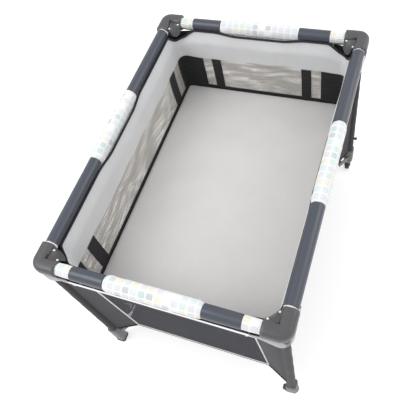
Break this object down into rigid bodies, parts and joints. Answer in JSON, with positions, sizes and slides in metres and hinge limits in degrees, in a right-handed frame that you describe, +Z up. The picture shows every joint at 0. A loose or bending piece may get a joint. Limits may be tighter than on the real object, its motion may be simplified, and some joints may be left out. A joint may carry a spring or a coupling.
{
  "type": "travel play yard",
  "caption": "Folding rectangular play yard with a full-size bassinet hung on padded top rails, fixed feet on one side and casters on the other.",
  "frame": {"origin": "on the floor at the centre of the footprint", "axes": "+X across the short side towards the casters, +Y along the long side, +Z up"},
  "size_m": [0.746, 1.052, 0.738],
  "materials": {
    "casting": "satin",
    "leg": "satin",
    "rail_steel": "satin",
    "sleeve": "satin",
    "pad": "matte",
    "cover": "matte",
    "lining": "matte",
    "mattress": "matte",
    "block": "matte",
    "rubber": "matte",
    "caster": "matte",
    "wheel": "matte",
    "latch": "matte",
    "button": "matte",
    "webbing": "matte",
    "bar": "satin"
  },
  "bodies": {
    "leg_near_left": {"corner_casting_near_left": "casting", "leg_tube_near_left": "leg", "outer_cover_near_left": "cover", "foot_near_left": "block", "foot_pad_near_left": "rubber"},
    "leg_near_right": {"corner_casting_near_right": "casting", "leg_tube_near_right": "leg", "outer_cover_near_right": "cover", "caster_bracket_near_right": "block"},
    "leg_far_left": {"corner_casting_far_left": "casting", "leg_tube_far_left": "leg", "outer_cover_far_left": "cover", "foot_far_left": "block", "foot_pad_far_left": "rubber"},
    "leg_far_right": {"corner_casting_far_right": "casting", "leg_tube_far_right": "leg", "outer_cover_far_right": "cover", "caster_bracket_far_right": "block"},
    "rail_near_left_half": {"rail_near_left_half": "rail_steel"},
    "rail_near_right_half": {"rail_near_right_half": "rail_steel"},
    "latch_near": {"latch_near": "latch", "rail_pad_near": "pad"},
    "latch_button_near": {"latch_button_near": "button"},
    "rail_far_left_half": {"rail_far_left_half": "rail_steel"},
    "rail_far_right_half": {"rail_far_right_half": "rail_steel"},
    "latch_far": {"latch_far": "latch", "rail_pad_far": "pad"},
    "latch_button_far": {"latch_button_far": "button"},
    "rail_left_near_half": {"rail_left_near_half": "rail_steel"},
    "rail_left_far_half": {"rail_left_far_half": "rail_steel"},
    "latch_left": {"latch_left": "latch", "rail_pad_left": "pad"},
    "latch_button_left": {"latch_button_left": "button"},
    "rail_right_near_half": {"rail_right_near_half": "rail_steel"},
    "rail_right_far_half": {"rail_right_far_half": "rail_steel"},
    "latch_right": {"latch_right": "latch", "rail_pad_right": "pad"},
    "latch_button_right": {"latch_button_right": "button"},
    "floor_tube_near_left": {"floor_tube_near_left": "rail_steel"},
    "floor_tube_near_right": {"floor_tube_near_right": "rail_steel"},
    "floor_tube_far_left": {"floor_tube_far_left": "rail_steel"},
    "floor_tube_far_right": {"floor_tube_far_right": "rail_steel"},
    "hub": {"hub": "latch", "hub_strap": "webbing", "yard_floor": "cover"},
    "caster_fork_near_right": {"caster_fork_near_right": "caster"},
    "caster_wheel_near_right": {"caster_wheel_near_right": "wheel"},
    "caster_fork_far_right": {"caster_fork_far_right": "caster"},
    "caster_wheel_far_right": {"caster_wheel_far_right": "wheel"},
    "bassinet": {"bassinet_sleeves_near": "sleeve", "bassinet_wall_near": "lining", "bassinet_sleeves_far": "sleeve", "bassinet_wall_far": "lining", "bassinet_sleeves_left": "sleeve", "bassinet_wall_left": "lining", "bassinet_sleeves_right": "sleeve", "bassinet_wall_right": "lining", "bassinet_floor": "lining", "bassinet_support_bars": "bar"},
    "mattress": {"mattress": "mattress"}
  },
  "joints": [
    {"name": "fold", "type": "hinge", "parent": "leg_near_left", "child": "rail_near_left_half", "pos_m": [-0.305, -0.5, 0.712], "axis": [0, 1, 0], "range_deg": [0, 80], "deforming": ["outer_cover_near_left", "outer_cover_near_right", "outer_cover_far_left", "outer_cover_far_right", "rail_pad_near", "rail_pad_far", "rail_pad_left", "rail_pad_right", "yard_floor"]},
    {"name": "near_rail_left_latch_pivot", "type": "hinge", "parent": "rail_near_left_half", "child": "latch_near", "pos_m": [-0.028, -0.5, 0.712], "axis": [0, -1, 0], "range_deg": [0, 80]},
    {"name": "near_rail_right_latch_pivot", "type": "hinge", "parent": "latch_near", "child": "rail_near_right_half", "pos_m": [0.028, -0.5, 0.712], "axis": [0, -1, 0], "range_deg": [0, 80]},
    {"name": "near_rail_right_casting_pivot", "type": "hinge", "parent": "rail_near_right_half", "child": "leg_near_right", "pos_m": [0.305, -0.5, 0.712], "axis": [0, 1, 0], "range_deg": [0, 80]},
    {"name": "far_rail_left_casting_pivot", "type": "hinge", "parent": "leg_far_left", "child": "rail_far_left_half", "pos_m": [-0.305, 0.5, 0.712], "axis": [0, 1, 0], "range_deg": [0, 80]},
    {"name": "far_rail_left_latch_pivot", "type": "hinge", "parent": "rail_far_left_half", "child": "latch_far", "pos_m": [-0.028, 0.5, 0.712], "axis": [0, -1, 0], "range_deg": [0, 80]},
    {"name": "far_rail_right_latch_pivot", "type": "hinge", "parent": "latch_far", "child": "rail_far_right_half", "pos_m": [0.028, 0.5, 0.712], "axis": [0, -1, 0], "range_deg": [0, 80]},
    {"name": "left_rail_near_casting_pivot", "type": "hinge", "parent": "leg_near_left", "child": "rail_left_near_half", "pos_m": [-0.347, -0.458, 0.712], "axis": [-1, 0, 0], "range_deg": [0, 80]},
    {"name": "left_rail_near_latch_pivot", "type": "hinge", "parent": "rail_left_near_half", "child": "latch_left", "pos_m": [-0.347, -0.05744, 0.712], "axis": [1, 0, 0], "range_deg": [0, 80]},
    {"name": "left_rail_far_latch_pivot", "type": "hinge", "parent": "latch_left", "child": "rail_left_far_half", "pos_m": [-0.347, 0.05744, 0.712], "axis": [1, 0, 0], "range_deg": [0, 80]},
    {"name": "left_rail_far_casting_pivot", "type": "hinge", "parent": "rail_left_far_half", "child": "leg_far_left", "pos_m": [-0.347, 0.458, 0.712], "axis": [-1, 0, 0], "range_deg": [0, 80]},
    {"name": "right_rail_near_casting_pivot", "type": "hinge", "parent": "leg_near_right", "child": "rail_right_near_half", "pos_m": [0.347, -0.458, 0.712], "axis": [-1, 0, 0], "range_deg": [0, 80]},
    {"name": "right_rail_near_latch_pivot", "type": "hinge", "parent": "rail_right_near_half", "child": "latch_right", "pos_m": [0.347, -0.05744, 0.712], "axis": [1, 0, 0], "range_deg": [0, 80]},
    {"name": "right_rail_far_latch_pivot", "type": "hinge", "parent": "latch_right", "child": "rail_right_far_half", "pos_m": [0.347, 0.05744, 0.712], "axis": [1, 0, 0], "range_deg": [0, 80]},
    {"name": "right_rail_far_casting_pivot", "type": "hinge", "parent": "rail_right_far_half", "child": "leg_far_right", "pos_m": [0.347, 0.458, 0.712], "axis": [-1, 0, 0], "range_deg": [0, 80]},
    {"name": "floor_tube_near_left_foot_pivot", "type": "hinge", "parent": "leg_near_left", "child": "floor_tube_near_left", "pos_m": [-0.31115, -0.44994, 0.072], "axis": [0.8225, -0.5688, 0], "range_deg": [0, 80]},
    {"name": "floor_tube_near_right_foot_pivot", "type": "hinge", "parent": "leg_near_right", "child": "floor_tube_near_right", "pos_m": [0.31115, -0.44994, 0.072], "axis": [0.8225, 0.5688, 0], "range_deg": [0, 80]},
    {"name": "floor_tube_far_left_foot_pivot", "type": "hinge", "parent": "leg_far_left", "child": "floor_tube_far_left", "pos_m": [-0.31115, 0.44994, 0.072], "axis": [-0.8225, -0.5688, 0], "range_deg": [0, 80]},
    {"name": "floor_tube_far_right_foot_pivot", "type": "hinge", "parent": "leg_far_right", "child": "floor_tube_far_right", "pos_m": [0.31115, 0.44994, 0.072], "axis": [-0.8225, 0.5688, 0], "range_deg": [0, 80]},
    {"name": "hub_pivot", "type": "hinge", "parent": "floor_tube_near_left", "child": "hub", "pos_m": [-0.03415, -0.04938, 0.072], "axis": [-0.8225, 0.5688, 0], "range_deg": [0, 80]},
    {"name": "bassinet_lift", "type": "slide", "parent": "hub", "child": "bassinet", "axis": [0, 0, 1], "range_m": [0, 0.8398]},
    {"name": "mattress_lift", "type": "slide", "parent": "bassinet", "child": "mattress", "axis": [0, 0, 1], "range_m": [0, 0.35]},
    {"name": "latch_button_near_press", "type": "slide", "parent": "latch_near", "child": "latch_button_near", "axis": [0, 1, 0], "range_m": [0, 0.0015], "stiffness_N_per_m": 400},
    {"name": "latch_button_far_press", "type": "slide", "parent": "latch_far", "child": "latch_button_far", "axis": [0, -1, 0], "range_m": [0, 0.0015], "stiffness_N_per_m": 400},
    {"name": "latch_button_left_press", "type": "slide", "parent": "latch_left", "child": "latch_button_left", "axis": [1, 0, 0], "range_m": [0, 0.0015], "stiffness_N_per_m": 400},
    {"name": "latch_button_right_press", "type": "slide", "parent": "latch_right", "child": "latch_button_right", "axis": [-1, 0, 0], "range_m": [0, 0.0015], "stiffness_N_per_m": 400},
    {"name": "caster_near_right_swivel", "type": "hinge", "parent": "leg_near_right", "child": "caster_fork_near_right", "pos_m": [0.343, -0.496, 0.06], "axis": [0, 0, 1], "continuous": true},
    {"name": "caster_near_right_roll", "type": "hinge", "parent": "caster_fork_near_right", "child": "caster_wheel_near_right", "pos_m": [0.331, -0.496, 0.022], "axis": [0, 1, 0], "continuous": true},
    {"name": "caster_far_right_swivel", "type": "hinge", "parent": "leg_far_right", "child": "caster_fork_far_right", "pos_m": [0.343, 0.496, 0.06], "axis": [0, 0, 1], "continuous": true},
    {"name": "caster_far_right_roll", "type": "hinge", "parent": "caster_fork_far_right", "child": "caster_wheel_far_right", "pos_m": [0.343, 0.484, 0.022], "axis": [1, 0, 0], "continuous": true}
  ],
  "couplings": [
    {"joint": "near_rail_left_latch_pivot", "follows": "fold", "ratio": 1},
    {"joint": "near_rail_right_latch_pivot", "follows": "fold", "ratio": 1},
    {"joint": "near_rail_right_casting_pivot", "follows": "fold", "ratio": 1},
    {"joint": "far_rail_left_casting_pivot", "follows": "fold", "ratio": 1},
    {"joint": "far_rail_left_latch_pivot", "follows": "fold", "ratio": 1},
    {"joint": "far_rail_right_latch_pivot", "follows": "fold", "ratio": 1},
    {"joint": "left_rail_near_casting_pivot", "follows": "fold", "ratio": 1},
    {"joint": "left_rail_near_latch_pivot", "follows": "fold", "ratio": 1},
    {"joint": "left_rail_far_latch_pivot", "follows": "fold", "ratio": 1},
    {"joint": "left_rail_far_casting_pivot", "follows": "fold", "ratio": 1},
    {"joint": "right_rail_near_casting_pivot", "follows": "fold", "ratio": 1},
    {"joint": "right_rail_near_latch_pivot", "follows": "fold", "ratio": 1},
    {"joint": "right_rail_far_latch_pivot", "follows": "fold", "ratio": 1},
    {"joint": "right_rail_far_casting_pivot", "follows": "fold", "ratio": 1},
    {"joint": "floor_tube_near_left_foot_pivot", "follows": "fold", "ratio": 1},
    {"joint": "floor_tube_near_right_foot_pivot", "follows": "fold", "ratio": 1},
    {"joint": "floor_tube_far_left_foot_pivot", "follows": "fold", "ratio": 1},
    {"joint": "floor_tube_far_right_foot_pivot", "follows": "fold", "ratio": 1},
    {"joint": "hub_pivot", "follows": "fold", "ratio": 1},
    {"joint": "bassinet_lift", "follows": "fold", "m_per_rad": 0.6}
  ]
}
